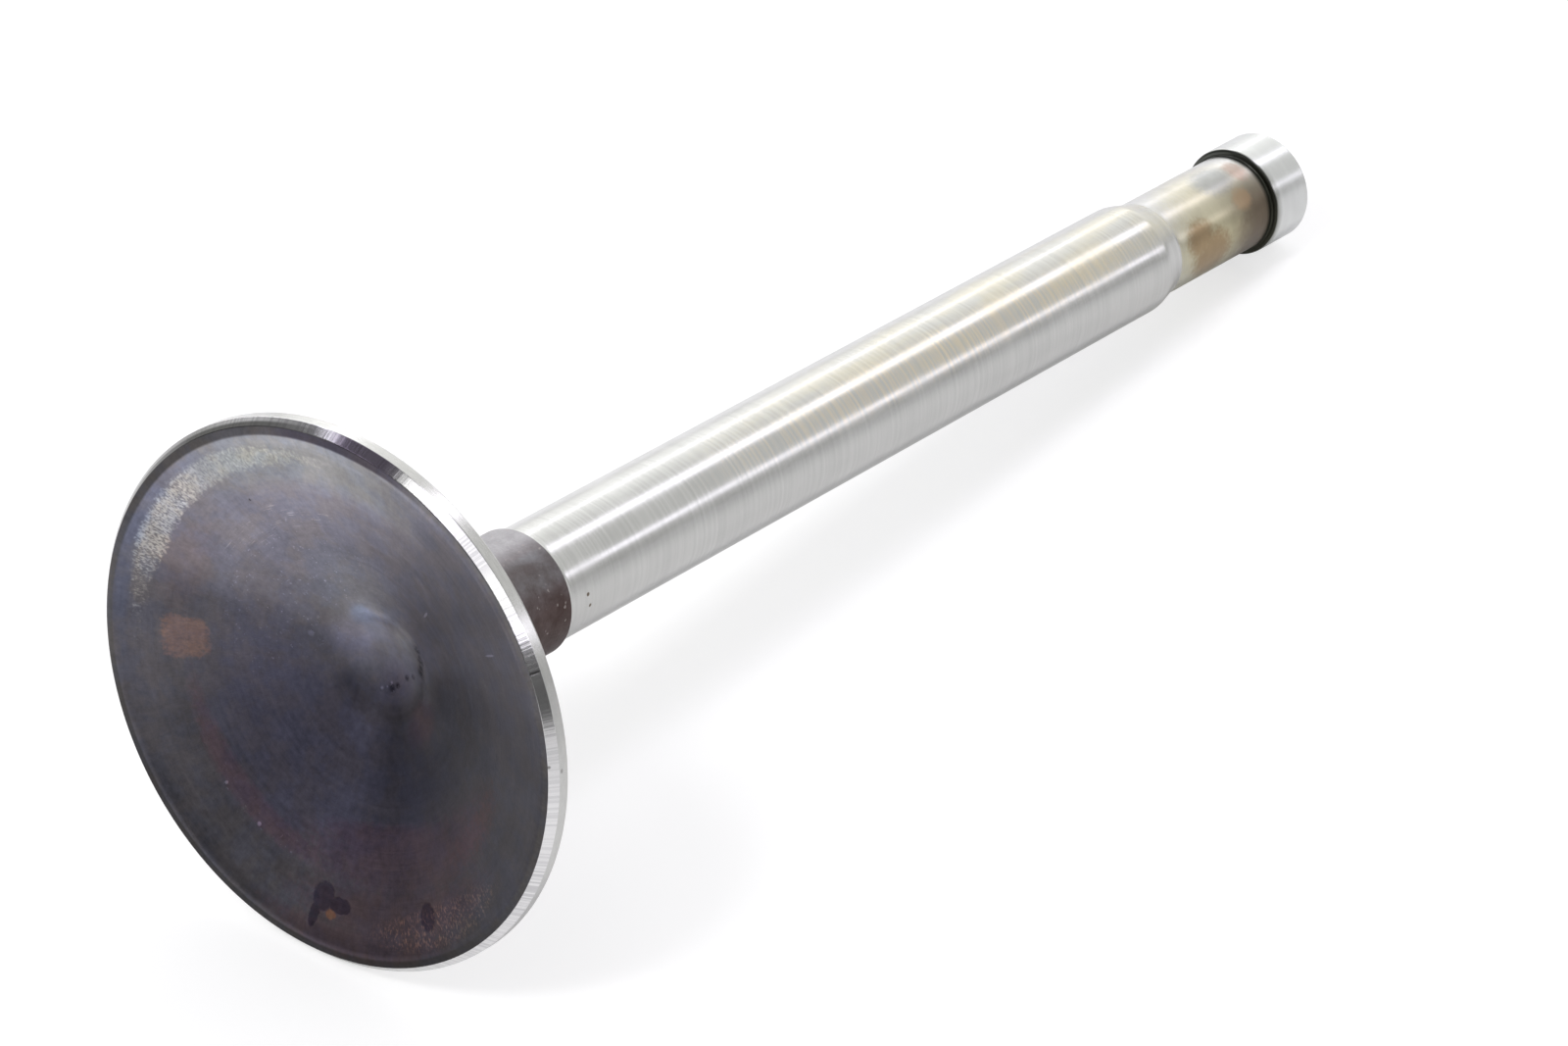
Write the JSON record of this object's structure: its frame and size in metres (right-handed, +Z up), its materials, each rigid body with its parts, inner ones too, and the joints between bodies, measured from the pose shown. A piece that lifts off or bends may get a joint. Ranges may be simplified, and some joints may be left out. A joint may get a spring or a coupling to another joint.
{
  "type": "engine valve",
  "caption": "Engine poppet valve with a dished head, 45 degree seat, swept underside, ground stem, plain keeper neck and tip button.",
  "frame": {"origin": "centre of the head's face, in the plane of its rim land, on the valve's axis", "axes": "+Z up the stem from the head to the tip button; X and Y are radial, and -Y is the side that faces the picture's camera"},
  "size_m": [0.041, 0.041, 0.117],
  "materials": {
    "valve_steel": "Ground bright steel on the stem, margin and tip button, heat-tinted straw at the keeper neck, dark brown scale on the forged neck, and a dark grey-blue oxidised face with lathe rings and scratches."
  },
  "bodies": {
    "root": {"valve": "valve_steel"}
  },
  "joints": []
}
